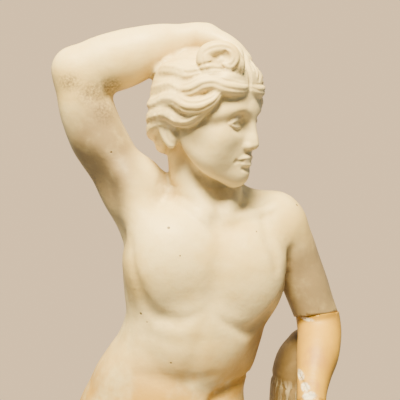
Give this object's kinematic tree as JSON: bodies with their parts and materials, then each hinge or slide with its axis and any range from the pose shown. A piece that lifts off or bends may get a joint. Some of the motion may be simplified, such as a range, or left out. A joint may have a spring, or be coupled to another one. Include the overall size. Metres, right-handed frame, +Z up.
{
  "type": "classical statue",
  "caption": "Standing nude youth after the antique, one arm bent over his head, the other elbow on a tree trunk, on a low rectangular plinth.",
  "frame": {"origin": "centre of the plinth's underside", "axes": "+Z up, -Y is the way the chest faces, +X to the viewer's right, where the tree trunk stands"},
  "size_m": [0.5, 0.44, 1.5284],
  "materials": {
    "cream_cast": "satin, varnished cream, dusty",
    "yellowed_cast": "satin, yellowed varnish",
    "plinth_cast": "satin, varnished cream, dusty"
  },
  "bodies": {
    "root": {"figure": "cream_cast", "left_forearm": "yellowed_cast", "plinth": "plinth_cast"}
  },
  "joints": []
}
